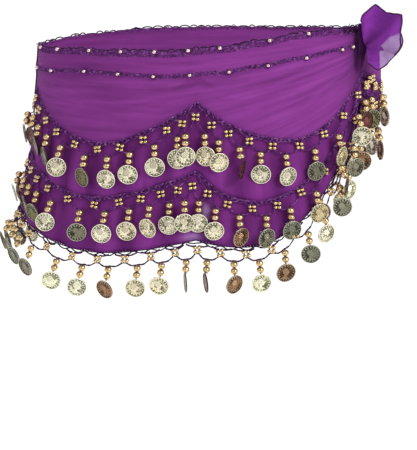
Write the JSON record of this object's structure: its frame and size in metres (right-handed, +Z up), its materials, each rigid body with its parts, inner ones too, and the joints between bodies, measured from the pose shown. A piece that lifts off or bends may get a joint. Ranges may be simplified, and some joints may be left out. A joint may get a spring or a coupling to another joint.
{
  "type": "belly dance hip scarf",
  "caption": "Purple chiffon hip scarf in three scalloped tiers with crochet edges and rows of gold coin drops, tied at one hip.",
  "frame": {"origin": "middle of the hollow at the hip line, on a level with the top edge of the cloth at the front", "axes": "+Z up along the wearer, +X to the wearer's left, where the knot is, -Y to the wearer's front"},
  "size_m": [0.4037, 0.3317, 0.28],
  "materials": {
    "chiffon": "sheer, soft",
    "crochet": "matt thread",
    "gold_trim": "polished"
  },
  "bodies": {
    "root": {"cloth_tier_1": "chiffon", "cloth_tier_2": "chiffon", "cloth_tier_3": "chiffon", "top_crochet_band": "crochet", "second_crochet_band": "crochet", "coin_row_1": "gold_trim", "coin_row_2": "gold_trim", "coin_row_3": "gold_trim", "knot": "chiffon", "tie_end_upper": "chiffon", "tie_end_lower": "chiffon"}
  },
  "joints": []
}
